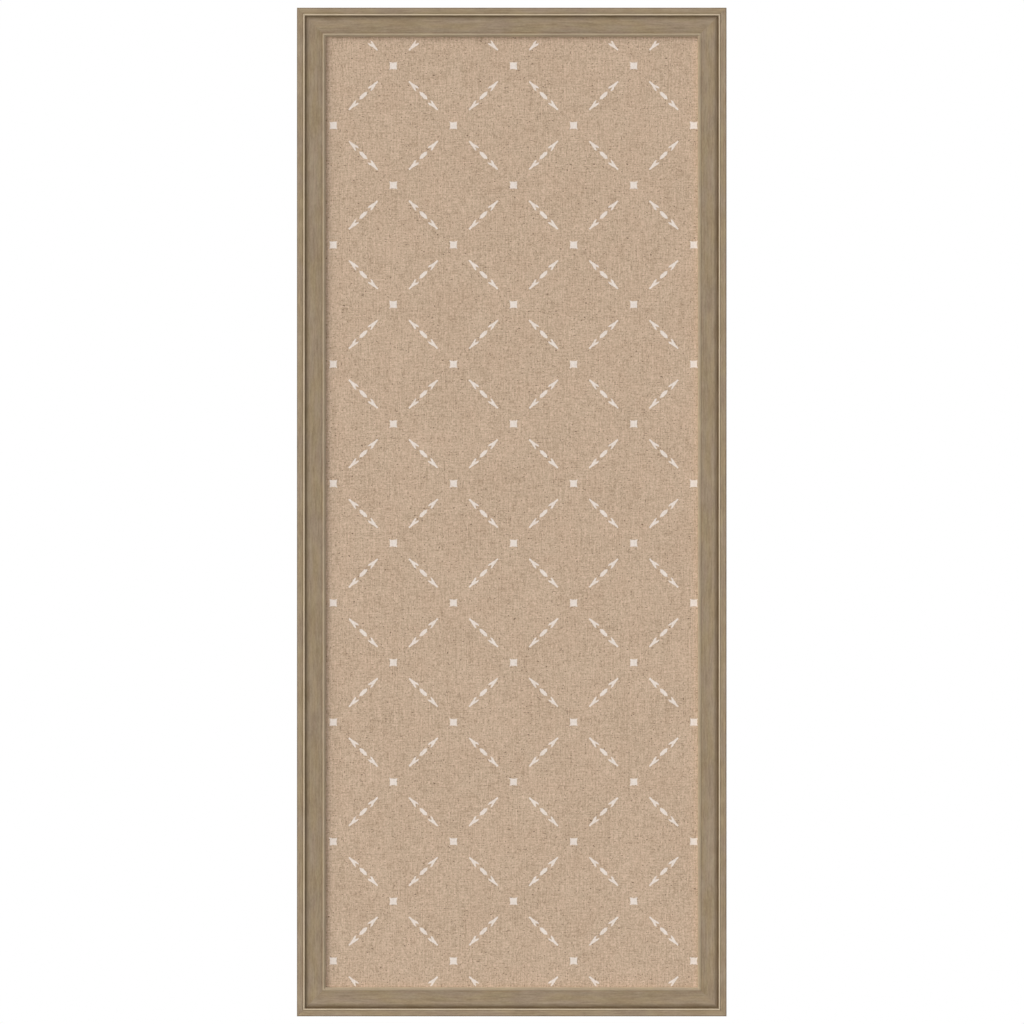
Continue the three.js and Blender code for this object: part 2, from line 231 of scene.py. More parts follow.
def layered(place, start, layers, clamp=False):
    # start plus each layer's weight times its value about the middle, 0.5; a layer is its weight, then the
    # size, detail and shift of a noise or another node's output
    total = start - sum(layer[0] for layer in layers) / 2
    for weight, part, *rest in layers:
        value = part if isinstance(part, bpy.types.NodeSocket) else noise(place, part, *rest)
        total = mathNode("MULTIPLY_ADD", value, weight, total)
    return clamped(total) if clamp else total


def clamped(value):
    return mathNode("ADD", value, 0, clamp=True)


def spread(value, low, high, toLow=0, toHigh=1, smooth=True):
    # value from low to high, drawn out to toLow and toHigh, and held there outside
    inputs = {"Value": value, "From Min": low, "From Max": high, "To Min": toLow, "To Max": toHigh}
    kind = "SMOOTHSTEP" if smooth else "LINEAR"
    return addNode(value.id_data, "ShaderNodeMapRange", inputs, interpolation_type=kind).outputs[0]


def mixed(share, first, second, blend="MIX"):
    # first where share is 0 and second where it is 1; a colour may be given by its code
    first, second = [colour(part) if isinstance(part, str) else part for part in (first, second)]
    inputs = {0: share, 6: first, 7: second}
    return addNode(share.id_data, "ShaderNodeMix", inputs, data_type="RGBA", blend_type=blend).outputs[2]


def feed(shader, socket, value):
    shader.id_data.links.new(value, shader.inputs[socket])


def bump(shader, height, depth, strength=0.5):
    # height from 0 to 1 raises the surface by depth, in millimetres
    inputs = {"Height": height, "Distance": depth * mm, "Strength": strength}
    feed(shader, "Normal", addNode(shader.id_data, "ShaderNodeBump", inputs).outputs[0])


# moulding: widths run from the outer edge to the sight edge, heights forwards from the frame's back
moulding = {
    "outerBand": 5.8,
    "lipQuirk": 0.7,
    "lipBead": 2,
    "step": 1.3,
    "cove": 3.4,
    "field": 12.5,
    "sightQuirk": 1.3,
    "sightBead": 1.7,
    "sightBevel": 1.5,
    "ledge": 13.4,
    "fieldRise": 5.5,
    "fieldFall": 0.3,
    "coveRise": 0.5,
    "stepRise": 1.8,
    "lipBeadRise": 0.5,
    "sightBeadRise": 0.36,
    "sightBevelDrop": 1.2,
    "lipQuirkDepth": 0.35,
    "sightQuirkDepth": 0.2,
    "arrisRadius": 1,
    "backArris": 0.4,
    "rabbet": 6.4,
    "mitreGap": 0.06,
    "sectionPitch": 6,  # from one cross-section to the next along the rail
    "handWear": 0.09,  # how far sanding has taken the outer arris and the lip down, at most
    "wearWidth": 0.6,
    "wearWaves": (310, 140, 67, 31, 17),  # lengths along the rail
    "wearFade": 40,  # length at each end without wear
}
bandPoints = dict(zip(moulding, (6, 6, 14, 5, 10, 12, 7, 12, 3)))  # across each of the face's nine bands
bandEnds = dict(zip(bandPoints, np.cumsum([moulding[name] for name in bandPoints])))
faceWidth = bandEnds["sightBevel"]
backWidth = faceWidth - moulding["rabbet"]
fieldHeight = moulding["ledge"] + moulding["fieldRise"]
coveHeight = fieldHeight + moulding["coveRise"]
bandHeight = coveHeight + moulding["stepRise"]


def quarterTurn(count):
    # angles from 0 to a right angle
    return np.linspace(0, math.pi / 2, count)


def stacked(*parts):
    # arrays side by side along a new last axis, each repeated to the size of the largest
    return np.stack(np.broadcast_arrays(*parts), -1)


def frontHeight(u):
    # height of the moulding's face at u from the outer edge: flat bands, half ellipses for the beads,
    # half waves for the quirks, a quarter ellipse for the cove and straight slopes between
    size, end = moulding, bandEnds
    innerEnd = fieldHeight - size["fieldFall"]
    bands = ("lipBead", "step", "cove", "field", "sightBead", "sightBevel")
    places = [0, *[end[name] for name in bands]]
    lastHeights = [innerEnd, innerEnd, innerEnd - size["sightBevelDrop"]]
    height = np.interp(u, places, [bandHeight, bandHeight, coveHeight, fieldHeight, *lastHeights])
    cove = np.clip((end["cove"] - u) / size["cove"], 0, 1)
    coveCurve = coveHeight - size["coveRise"] * np.sqrt(1 - cove**2)
    height = np.where((u > end["step"]) & (u < end["cove"]), coveCurve, height)
    for bead, rise in (("lipBead", size["lipBeadRise"]), ("sightBead", size["sightBeadRise"])):
        across = 2 * (end[bead] - u) / size[bead] - 1
        height = height + rise * np.sqrt(np.clip(1 - across**2, 0, 1))
    for quirk, depth in (("lipQuirk", size["lipQuirkDepth"]), ("sightQuirk", size["sightQuirkDepth"])):
        across = np.clip((end[quirk] - u) / size[quirk], 0, 1)
        height = height - depth * np.sin(math.pi * across) ** 2
    radius = size["arrisRadius"]
    arris = np.clip(radius - u, 0, radius)
    return height - radius + np.sqrt(radius**2 - arris**2)


def mouldingSection():
    # the closed outline as [u, height, v]: v is u on the face, and the distance past it elsewhere
    size = moulding
    start = size["arrisRadius"]
    pieces = [start * (1 - np.cos(quarterTurn(7)))]
    for name, count in bandPoints.items():
        pieces.append(np.linspace(start, bandEnds[name], count)[1:])
        start = bandEnds[name]
    u = np.concatenate(pieces)
    face = stacked(u, frontHeight(u), u)
    sideHeights = np.linspace(size["backArris"], bandHeight - size["arrisRadius"], 9)[:-1]
    side = stacked(0, sideHeights, sideHeights - bandHeight)
    lastHeight = face[-1, 1]
    corners = [
        (faceWidth, (lastHeight + size["ledge"]) / 2),
        (faceWidth, size["ledge"]),
        (backWidth, size["ledge"]),
        (backWidth, size["ledge"] / 2),
        (backWidth, size["backArris"]),
        (backWidth - size["backArris"], 0),
        (backWidth / 2, 0),
        (size["backArris"], 0),
    ]
    back = [(u, up, faceWidth + lastHeight - up + abs(faceWidth - u)) for u, up in corners]
    return np.concatenate([side, face, back])


def gridFaces(rows, columns, wrap=False):
    # four-sided faces of a grid of points, row by row; wrap joins the last column to the first
    row, column = np.mgrid[: rows - 1, : columns if wrap else columns - 1]
    first, second = row * columns + column, row * columns + (column + 1) % columns
    return stacked(first, second, second + columns, first + columns).reshape(-1, 4)


def endFaces(rows, columns):
    # a grid's first and last row, each as one face
    return [np.arange(columns), (rows - 1) * columns + np.arange(columns)]


def gridBorder(rows, columns):
    # a grid's outer points, in order round it
    index = np.arange(rows * columns).reshape(rows, columns)
    return np.concatenate([index[0, :-1], index[:-1, -1], index[-1, :0:-1], index[:0:-1, 0]])


def addPiece(name, points, faces, material, body="board", uv=None, sharp=40, merge=0.0):
    # a closed mesh of points in millimetres, its normals outwards; uv has a place, in millimetres too, for
    # each point or each corner of a face
    mesh = bpy.data.meshes.new(name)
    points = np.reshape(points, (-1, 3)) * mm
    mesh.from_pydata(points.tolist(), [], [list(face) for face in faces])
    if uv is not None:
        if len(uv) == len(points):
            corners = np.empty(len(mesh.loops), np.int32)
            mesh.loops.foreach_get("vertex_index", corners)
            uv = uv[corners]
        mesh.uv_layers.new(name="surface").data.foreach_set("uv", (np.ravel(uv) * mm).astype(np.float32))
    work = bmesh.new()
    work.from_mesh(mesh)
    if merge:
        bmesh.ops.remove_doubles(work, verts=work.verts, dist=merge)
    bmesh.ops.recalc_face_normals(work, faces=work.faces)
    work.to_mesh(mesh)
    work.free()
    mesh.shade_smooth()
    mesh.set_sharp_from_angle(angle=math.radians(sharp))
    mesh.materials.append(material)
    piece = addObject(name, mesh)
    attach(piece, body)
    return piece


# in turn from the top; glaze: how much dark glaze and painted shade lie below the lip and on the outer
# arris, less on the top and left, where the lamps already shade them; rubbed: how far the lip, the sight
# bead's outer flank and its crest, the sight bevel and its edge were sanded through, with painted
# highlights that differ by side
railSetup = {
    "rail_top": {"node": "frame_top_rail", "glazeAndShade": 0.46, "rubAndHighlight": (0.75, 0, 0.50, 0.22, 0.52)},
    "stile_right": {"node": "frame_right_stile", "glazeAndShade": 1, "rubAndHighlight": (0.88, 0.42, 0.22, 0.08, 0.48)},
    "rail_bottom": {"node": "frame_bottom_rail", "glazeAndShade": 0.94, "rubAndHighlight": (0.90, 0.30, 0.28, 0.16, 0.75)},
    "stile_left": {"node": "frame_left_stile", "glazeAndShade": 0.40, "rubAndHighlight": (0.66, 0, 0.44, 0.56, 0.36)},
}


def wear(along, u, seed):
    # a slow sum of waves along the rail, felt at the outer arris and the lip's crest, not at the mitres
    size = moulding
    rng = np.random.default_rng(seed)
    waves = sum(np.sin(2 * math.pi * (along / length + rng.random())) for length in size["wearWaves"])
    lip = (bandEnds["lipQuirk"] + bandEnds["lipBead"]) / 2
    arrisShare, lipShare = [np.exp(-(((u - crest) / size["wearWidth"]) ** 2)) for crest in (0, lip)]
    fade = np.clip((np.abs(along).max() - np.abs(along)) / size["wearFade"], 0, 1)
    depth = size["handWear"] * (0.5 + 0.5 * waves / len(size["wearWaves"]))
    return depth * fade * (arrisShare + 0.5 * lipShare)


def addRail(name, setup, material, quarter):
    # the section carried along the rail, each end cut back by u for the mitre, then turned about Y
    u, height, v = mouldingSection().T
    upright = quarter % 2
    length = (boardHeight if upright else boardWidth) / mm
    reach = (boardWidth if upright else boardHeight) / 2 / mm
    rows = int(length / moulding["sectionPitch"]) + 1
    share = np.linspace(-1, 1, rows)[:, None]
    x = share * (length / 2 - u - moulding["mitreGap"] / 2)
    y = frameBackY / mm - (height - wear(x, u, quarter + 1) * (height > moulding["ledge"]))
    z = reach - u
    turn = quarter * math.pi / 2
    cos, sin = math.cos(turn), math.sin(turn)
    points = stacked(x * cos + z * sin, y, z * cos - x * sin)
    columns = len(u)
    faces = gridFaces(rows, columns, wrap=True)
    around = np.append(v, v[-1] + moulding["backArris"])
    place = stacked(x[:, np.r_[0:columns, 0]], around).reshape(-1, 2)
    sideUv = place[gridFaces(rows, columns + 1)].reshape(-1, 2)
    ends = endFaces(rows, columns)
    endUv = [stacked(x.ravel()[end], v) for end in ends]
    uv = np.concatenate([sideUv, *endUv])
    rail = addPiece(name, points, [*faces, *ends], material, uv=uv, sharp=50)
    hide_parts(setup["node"])


finish = {  # paint, dark glaze and painted shade in the recesses, rubbed crests and painted highlights
    "paint": "9d8a69",
    "paintDark": "7c684b",
    "glazeAndShade": "422d0a",
    "rubAndHighlight": "d8c6a8",
    "bareWood": "c9ab7d",
    "bareWoodDark": "a98558",
    "sheen": 0.55,
    "bareSheen": 0.85,
    # weight, size along and across the rail, detail and place in the noise
    "streaks": [
        (0.45, (3, 1.4), 1, (7, 7)),
        (0.58, (10, 1.7), 1),
        (0.58, (34, 1.9), 1, (3, 7)),
        (0.30, (110, 8), 1, (5, 2)),
        (0.55, (20, 12), 1, (1, 6)),
        (0.5, (26, 0.36), 2, (2, 3)),
    ],
    "grain": [(1.0, (60, 1.1), 2, (2, 9)), (0.6, (14, 0.5), 1, (8, 1))],
    "brushMarks": [(0.8, (45, 0.45), 2, (6, 3)), (0.4, (7, 1.6), 1, (2, 8))],
    "brushDepth": 0.06,
    "streakRoughness": 0.08,
    # size, detail and place in the noise, and what a greyer or a redder patch makes of the paint
    "casts": [((40, 11), 2, (8, 2), (0.99, 1, 1.16)), ((22, 4), 2, (3, 6), (1.02, 0.985, 1))],
    "castEdge": (0.32, 0.68),  # the noise from which a patch shows and at which it is full
    "patches": ((26, 3), 2, (1, 4)),  # of more and less glaze and rubbing
    "patchShare": (0.8, 1),
    "raggedEdge": ((12, 4), 3, (4, 4)),
    "raggedReach": 1.6,
    "outerEnd": (1.3, 2.1),  # the paint runs out between these heights above the back
    "innerEnd": (2.2, 3.2),  # and between these depths behind the sight edge
}


def bandValue(across, stops):
    # a grey value along the face, from [place in millimetres, value] pairs with straight runs between
    share = spread(across, 0, faceWidth * mm, smooth=False)
    ramp = addNode(across.id_data, "ShaderNodeValToRGB", {"Fac": share})
    elements = ramp.color_ramp.elements
    for index, (place, value) in enumerate(stops):
        stop = elements[index] if index < 2 else elements.new(place / faceWidth)
        stop.position = place / faceWidth
        stop.color = (value, value, value, 1)
    return ramp.outputs[0]


def rubAndHighlightStops(side):
    # where and how far the sanding went through to the lighter coat, and painted highlights that differ by
    # side
    end = bandEnds
    lip = end["lipBead"] - moulding["lipBead"] / 2
    bead = end["sightBead"] - moulding["sightBead"] / 2
    # rubbing and painted highlight together: the sight bevels that face away from the key lamp get the
    # most
    lipRubAndLight, flankRubAndLight, crestRubAndLight, bevelRubAndLight, edgeRubAndLight = side["rubAndHighlight"]
    return [
        (0, 0), (1.2, 0), (1.9, 0.12), (2.8, 0),
        (end["lipQuirk"] - 0.1, 0.05), (lip - 0.35, lipRubAndLight), (lip + 0.25, lipRubAndLight),
        # painted highlight on the lip's inner flank, strongest where the glaze and painted shade are least
        (end["lipBead"] - 0.4, min(0.7, 0.12 / side["glazeAndShade"] ** 2)), (end["lipBead"] - 0.15, 0),
        (end["sightQuirk"] - 0.3, 0), (end["sightQuirk"] + 0.1, flankRubAndLight), (bead, crestRubAndLight),
        (bead + 0.4, crestRubAndLight), (end["sightBead"], bevelRubAndLight), (faceWidth, edgeRubAndLight),
    ]


def glazeAndShadeStops(side):
    # where the dark glaze lies, with painted shade under the lip and on the outer arris, more on the sides
    # the lamps leave lit
    end, left = bandEnds, side["glazeAndShade"]
    # left scales the glaze and the painted shade below the lip; the outer arris gets more painted shade
    # where left is low
    arris = 0.46 - 0.28 * left
    return [
        (0, arris), (0.9, arris), (1.5, 0.02),
        (end["outerBand"], 0.02), (end["outerBand"] + 0.3, 0.12), (end["lipQuirk"], 0.02),
        (end["lipBead"] - 0.4, 0.1 * left), (end["lipBead"] - 0.1, 0.65 * left),
        (end["step"] - 0.15, 0.97 * left), (end["step"] + 0.6, 0.76 * left),
        (end["cove"] - 1.2, 0.46 * left), (end["cove"], 0.10 * left), (end["cove"] + 1, 0),
        (end["field"] - 5, 0.01), (end["field"] - 4, 0.05), (end["field"] - 0.2, 0.10),
        (end["sightQuirk"] - 0.2, 0.15), (end["sightQuirk"] + 0.2, 0.05), (end["sightBead"], 0),
    ]


def paintedMoulding(side):
    # the glaze with its painted shade and the rubbing with its painted highlights differ from side to
    # side, set against how the lamps light each side
    material, shader = newMaterial("paintedMoulding", specular=0.35)
    place = surfacePlace(shader)
    across = axes(place)["Y"]
    streaks = layered(place, 0.40, finish["streaks"], clamp=True)
    base = mixed(streaks, finish["paint"], finish["paintDark"])
    for size, detail, shift, cast in finish["casts"]:
        patch = spread(noise(place, size, detail, shift), *finish["castEdge"], smooth=False)
        base = mixed(patch, base, (*cast, 1), blend="MULTIPLY")
    patchy = spread(noise(place, *finish["patches"]), 0.3, 0.7, *finish["patchShare"], smooth=False)
    # dark glaze with painted shade in the recesses, then the lighter coat with painted highlights
    for stops, tone in ((glazeAndShadeStops(side), finish["glazeAndShade"]), (rubAndHighlightStops(side), finish["rubAndHighlight"])):
        share = mathNode("MULTIPLY", bandValue(across, stops), patchy)
        base = mixed(share, base, tone)
    grain = layered(place, 0.5, finish["grain"], clamp=True)
    wood = mixed(grain, finish["bareWood"], finish["bareWoodDark"])
    edge = noise(place, *finish["raggedEdge"])
    ragged = mathNode("MULTIPLY_ADD", edge, finish["raggedReach"] * mm, across)
    outer = spread(ragged, *[(height - bandHeight) * mm for height in finish["outerEnd"]])
    inner = spread(ragged, *[(faceWidth + depth) * mm for depth in finish["innerEnd"]], 1, 0)
    painted = mathNode("MULTIPLY", outer, inner)
    feed(shader, "Base Color", mixed(painted, wood, base))
    sheen = spread(painted, 0, 1, finish["bareSheen"], finish["sheen"], smooth=False)
    feed(shader, "Roughness", mathNode("MULTIPLY_ADD", streaks, finish["streakRoughness"], sheen))
    bump(shader, layered(place, 0.5, finish["brushMarks"]), finish["brushDepth"])
    return material


for quarter, (name, setup) in enumerate(railSetup.items()):
    addRail(name, setup, paintedMoulding(setup), quarter)
print("frame rails made")

# linen: one sheet over the front of the panel, round its edges and turned in behind
linen = {
    "thickness": 0.7,
    "hem": 25,
    "foldRadius": 0.9,
    "gridPitch": 2.45,
    "slubRise": 0.09,  # how much the thick threads stand out
    "slubLength": 30,
    "edgeCalm": 12,  # width along the edges where the cloth is pulled flat
    "threadPitch": 0.62,
    "threadWander": 0.9,  # how far a thread strays from its straight line
    "slubRun": 9,  # length of a thick or light stretch of a thread
    "weaveRise": 0.12,
    "lightness": 0.605,
    # weight, size across and up, detail and place in the noise, for uneven threads and then soft clouds
    "shades": [
        (0.44, (2.4, 1.1), 1),
        (0.50, (1.1, 2.4), 1, (4, 1)),
        (0.25, (14, 1.1), 1, (2, 5)),
        (0.34, (1.1, 14), 1, (9, 3)),
        (0.13, (60, 1.3), 0, (6, 6)),
        (0.20, (1.3, 60), 0, (1, 8)),
        (0.40, (2.2, 2.2), 1, (12, 7)),
        (0.24, (8, 8), 1, (3, 9)),
        (0.12, (50, 50), 1, (8, 8)),
    ],
    "flecks": [  # size across and up, place in the noise, and the noise from which a husk shows
        ((2.4, 1.6), (11, 4), 0.72, 0.79),
        ((5, 3), (6, 14), 0.805, 0.83),
        ((8, 1.1), (4, 12), 0.755, 0.86),
        ((1.1, 7), (13, 2), 0.76, 0.86),
    ],
    "threadDark": "90775b",
    "threadLight": "dec4aa",
    "fleck": "6b5540",
    "fleckShare": 0.9,
    "warm": "cfa98f",
    "warmShare": 0.10,
    "warmPatches": ((24, 30), 2, (5, 5)),
    "inkDark": "bda68f",
    "inkLight": "f1e5da",
    "inkCover": 0.77,
    "inkRise": 0.06,  # how far the print stands on the cloth
    "inkSink": 0.2,  # and how far its back lies in the cloth
    "inkMargin": 1,  # left clear along the cloth's front edges
}
panelLow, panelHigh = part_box("linen_cover")
halfPanel = np.array([panelHigh.x, panelHigh.z]) / mm
panelFrontY = panelLow.y / mm
panelBackY = panelHigh.y / mm
frontHalf = halfPanel - linen["foldRadius"]
gridCounts = [int(round(2 * half / linen["gridPitch"])) + 1 for half in frontHalf]
gridX, gridZ = (np.linspace(-half, half, count) for half, count in zip(frontHalf, gridCounts))


def smoothed(field, axis, width):
    # a bell-shaped running mean along one axis, its width in grid steps
    weight = np.exp(-((np.arange(-3 * width, 3 * width + 1) / width) ** 2) / 2)
    weight /= weight.sum()
    return np.apply_along_axis(np.convolve, axis, field, weight, "same")


def slubField(seed):
    # threads along X and along Z, each thicker here and thinner there, from -1 to 1, calm at the edges
    rng = np.random.default_rng(seed)
    width = int(linen["slubLength"] / linen["gridPitch"] / 3)
    field = sum(smoothed(rng.standard_normal((len(gridZ), len(gridX))), axis, width) for axis in (0, 1))
    lines = zip(frontHalf, (gridX, gridZ))
    calm = [np.clip((half - np.abs(line)) / linen["edgeCalm"], 0, 1) for half, line in lines]
    return np.clip(field / (3 * field.std()), -1, 1) * calm[0] * calm[1][:, None]


slubs = slubField(11)


def clothFrontY(x, z):
    # the cloth's front at x, z: the slub field between its grid points, weighted along both axes
    place = [(x - gridX[0]) / (gridX[1] - gridX[0]), (z - gridZ[0]) / (gridZ[1] - gridZ[0])]
    column, row = [np.clip(step.astype(int), 0, count - 2) for step, count in zip(place, gridCounts)]
    right, up = np.clip(place[0] - column, 0, 1), np.clip(place[1] - row, 0, 1)
    low = slubs[row, column] * (1 - right) + slubs[row, column + 1] * right
    high = slubs[row + 1, column] * (1 - right) + slubs[row + 1, column + 1] * right
    return panelFrontY - linen["slubRise"] / 2 * (low * (1 - up) + high * up)


def plainWeave(place):
    # [tone, height] from 0 to 1 of threads along X and Y that pass over each other in turn: the tone is a
    # slow noise of the thread's own, the height a parabola across it that is lower where it goes under
    tree, split, pitch = place.id_data, axes(place), linen["threadPitch"]
    turns, cells, ridges = [], [], []
    for axis, size, shift in (("X", (5, 22), (3, 0)), ("Y", (22, 5), (0, 3))):
        drift = mathNode("MULTIPLY", noise(place, size, 1, shift), linen["threadWander"] / pitch)
        turn = mathNode("MULTIPLY_ADD", split[axis], 1 / (pitch * mm), drift)
        inside = mathNode("FRACT", turn)
        slope = mathNode("SUBTRACT", 4, mathNode("MULTIPLY", inside, 4))
        turns.append(turn)
        cells.append(mathNode("FLOOR", turn))
        ridges.append(mathNode("MULTIPLY", inside, slope))
    over = mathNode("PINGPONG", mathNode("ADD", *cells), 1)
    tones, heights = [], []
    for along, across, step in ((0, 1, 0.71), (1, 0, 0.81)):
        row = mathNode("MULTIPLY", cells[across], step)
        run = mathNode("DIVIDE", turns[along], linen["slubRun"] / pitch)
        vector = addNode(tree, "ShaderNodeCombineXYZ", {0: run, 1: row})
        inputs = {"Vector": vector.outputs[0], "Scale": 1, "Detail": 2, "Roughness": 0.6}
        tones.append(addNode(tree, "ShaderNodeTexNoise", inputs, noise_dimensions="2D").outputs[0])
        rise = mathNode("MULTIPLY_ADD", ridges[along], 0.5, 0.5)
        heights.append(mathNode("MULTIPLY", ridges[across], rise))
    pairs = [{0: over, 2: first, 3: second} for first, second in (tones, heights)]
    return [addNode(tree, "ShaderNodeMix", inputs).outputs[0] for inputs in pairs]


def clothShade(place, tone, height):
    # lightness of the cloth from 0 to 1: its threads' tones, painted shade in the gaps and where a thread
    # goes under, then its unevenness
    layers = [(0.92, tone), (0.46, height), *linen["shades"]]
    return layered(place, linen["lightness"], layers, clamp=True)


def naturalLinen():
    # woven threads from dark to light, with warm patches and dark husks
    material, shader = newMaterial("naturalLinen", roughness=0.95, specular=0.2)
    place = surfacePlace(shader)
    tone, height = plainWeave(place)
    cloth = mixed(clothShade(place, tone, height), linen["threadDark"], linen["threadLight"])
    warm = spread(noise(place, *linen["warmPatches"]), 0.35, 0.7, 0, linen["warmShare"], smooth=False)
    cloth = mixed(warm, cloth, linen["warm"])
    for size, shift, low, high in linen["flecks"]:
        fleck = spread(noise(place, size, 1, shift), low, high, 0, linen["fleckShare"])
        cloth = mixed(fleck, cloth, linen["fleck"])
    feed(shader, "Base Color", cloth)
    bump(shader, height, linen["weaveRise"], 0.6)
    return material


def addLinen(material):
    # a grid for the front, then loops round its border: over the fold, along the edge and the hem, back
    # inside, and in to one point on the cork
    radius, thick, hem = linen["foldRadius"], linen["thickness"], linen["hem"]
    turn = quarterTurn(4)[1:]
    near, far = radius * (1 - np.sin(turn)), radius * (1 - np.cos(turn))
    loops = [*zip(near, panelFrontY + far), (0, (panelFrontY + panelBackY) / 2), (0, panelBackY - radius)]
    loops += zip(far, panelBackY - near)
    loops += [(hem / 2, panelBackY), (thick + hem, panelBackY), (thick + hem, panelBackY - thick)]
    loops += [(thick, panelBackY - thick), (thick, panelFrontY + thick)]
    inset, depth = np.array(loops).T
    columns, rows = gridCounts
    x, z = np.meshgrid(gridX, gridZ)
    front = stacked(x, clothFrontY(x, z), z).reshape(-1, 3)
    border = gridBorder(rows, columns)
    edge = front[border][:, [0, 2]]
    rings = edge * ((halfPanel - inset[:, None]) / frontHalf)[:, None]
    ringPoints = stacked(rings[..., 0], depth[:, None], rings[..., 1])
    points = np.concatenate([front, ringPoints.reshape(-1, 3), [[0, depth[-1], 0]]])
    ringIndex = len(front) + np.arange(rings[..., 0].size).reshape(len(loops), -1)
    allRings = np.concatenate([border[None], ringIndex])
    last = ringIndex[-1]
    inner = stacked(last, np.roll(last, -1), len(points) - 1)
    around = allRings.ravel()[gridFaces(len(allRings), len(border), wrap=True)]
    faces = [*gridFaces(rows, columns), *around, *inner]
    run = np.cumsum(np.hypot(np.diff(inset, prepend=radius), np.diff(depth, prepend=panelFrontY)))
    flat = edge * ((frontHalf + run[:, None]) / frontHalf)[:, None]
    place = np.concatenate([front[:, [0, 2]], flat.reshape(-1, 2), [[0, 0]]])
    return addPiece("linen", points, faces, material, uv=place, sharp=60)


trellis = {  # the printed lattice and its motifs
    "centre": (1.87, -1.45),  # where the lattice's middle lies on the board
    "pitch": (63.44, 63.0),  # half a diamond, across and up
    "columns": (-4, 4),
    "rows": (-9, 9),
    "squareCorner": 4.3,
    "squareSide": 3.47,  # from the middle to the drawn-in side
    "hexagonPoint": 5.85,
    "hexagonShoulder": 3.0,
    "hexagonHalfWidth": 1.84,
    "tip": 21.3,  # places along the dash from its middle
    "shaftEnd": 17.6,
    "barbStart": 13.3,
    "barbOut": 11.0,
    "barbEnd": 8.9,
    "notch": 12.35,
    "tipHalfWidth": 0.8,
    "shaftHalfWidth": 1.08,
    "barbStartHalfWidth": 2.05,
    "barbOutHalfWidth": 2.6,
    "barbMiddle": 1.95,
    "barbHalfWidth": 0.3,
    "ragged": 0.16,
    "outlinePitch": 0.75,
}


def motifOutlines():
    # square: each side drawn in towards its middle; hexagon and arrow: straight sides between the places
    size = trellis
    corner, side = size["squareCorner"], size["squareSide"]
    share = np.linspace(-1, 1, 13)[:-1]
    top = stacked(share * corner, side + (corner - side) * np.abs(share) ** 3)
    square = [top @ np.linalg.matrix_power([[0, -1], [1, 0]], quarter) for quarter in range(4)]
    point, shoulder, half = size["hexagonPoint"], size["hexagonShoulder"], size["hexagonHalfWidth"]
    upper = [(point, 0), (shoulder, half), (-shoulder, half)]
    hexagon = np.array([*upper, *[(-along, -out) for along, out in upper]])
    upper = [
        (size["tip"], size["tipHalfWidth"]),
        (size["shaftEnd"], size["shaftHalfWidth"]),
        (size["barbStart"], size["barbStartHalfWidth"]),
        (size["barbOut"], size["barbOutHalfWidth"]),
        (size["barbEnd"], size["barbMiddle"] + size["barbHalfWidth"]),
        (size["barbEnd"], size["barbMiddle"] - size["barbHalfWidth"]),
    ]
    arrow = np.array([*upper, (size["notch"], 0), *[(along, -out) for along, out in upper[::-1]]])
    return np.concatenate(square), hexagon, arrow, arrow * (-1, 1)


def subdivided(outline):
    # points at an even pitch along each side of a closed outline
    ends = np.roll(outline, -1, axis=0)
    counts = np.maximum(1, np.round(np.hypot(*(ends - outline).T) / trellis["outlinePitch"]).astype(int))
    sides = zip(outline, ends, counts)
    runs = [start + (end - start) * np.arange(count)[:, None] / count for start, end, count in sides]
    return np.concatenate(runs)


def motifPlaces():
    # middles and turns: squares where the lattice lines cross, dashes halfway between along both slants
    (left, right), (low, high) = trellis["columns"], trellis["rows"]
    column, row = np.meshgrid(np.arange(left, right + 1), np.arange(low, high) + 0.5)
    pitch, centre = np.array(trellis["pitch"]), np.array(trellis["centre"])
    crossing = (np.floor(row) + column) % 2 == 1
    grid = stacked(column, row)
    squares = grid[crossing] * pitch + centre
    dashes = (grid + 0.5).reshape(-1, 2) * pitch + centre
    slant = math.atan2(pitch[1], pitch[0])
    turns = np.where(crossing.ravel(), slant, -slant)
    return squares, dashes, turns


def addPrint(material):
    # each motif is a thin closed slab, its outline on the cloth's front and again a little inside it; only
    # those whose middle shows within the frame were printed
    square, *dashParts = [subdivided(outline) for outline in motifOutlines()]
    squares, dashes, turns = motifPlaces()
    rng = np.random.default_rng(23)
    limit = frontHalf - linen["inkMargin"]
    seen = np.array([boardWidth, boardHeight]) / 2 / mm - faceWidth
    allPoints, allFaces, count = [], [], 0
    jobs = [(square, squares, np.zeros(len(squares)))] + [(part, dashes, turns) for part in dashParts]
    for outline, middles, angles in jobs:
        rough = rng.normal(0, trellis["ragged"], (len(middles), *outline.shape))
        rough = (rough + np.roll(rough, 1, axis=1)) / 2
        shape = outline[None] + rough
        cos, sin = np.cos(angles)[:, None], np.sin(angles)[:, None]
        x = middles[:, :1] + shape[..., 0] * cos - shape[..., 1] * sin
        z = middles[:, 1:] + shape[..., 0] * sin + shape[..., 1] * cos
        inside = (np.abs(x.mean(1)) < seen[0]) & (np.abs(z.mean(1)) < seen[1])
        x, z = np.clip(x[inside], -limit[0], limit[0]), np.clip(z[inside], -limit[1], limit[1])
        y = clothFrontY(x, z)
        skins = [stacked(x, y + shift, z) for shift in (-linen["inkRise"], linen["inkSink"])]
        slabs = np.stack(skins, 1)
        size = len(outline)
        first = count + 2 * size * np.arange(len(slabs))[:, None]
        allFaces += [*(first[:, :, None] + gridFaces(2, size, wrap=True)).reshape(-1, 4)]
        for end in endFaces(2, size):
            allFaces += [*(first + end)]
        allPoints.append(slabs.reshape(-1, 3))
        count += slabs[..., 0].size
    points = np.concatenate(allPoints)
    return addPiece("printed_trellis", points, allFaces, material, uv=points[:, [0, 2]], sharp=30)


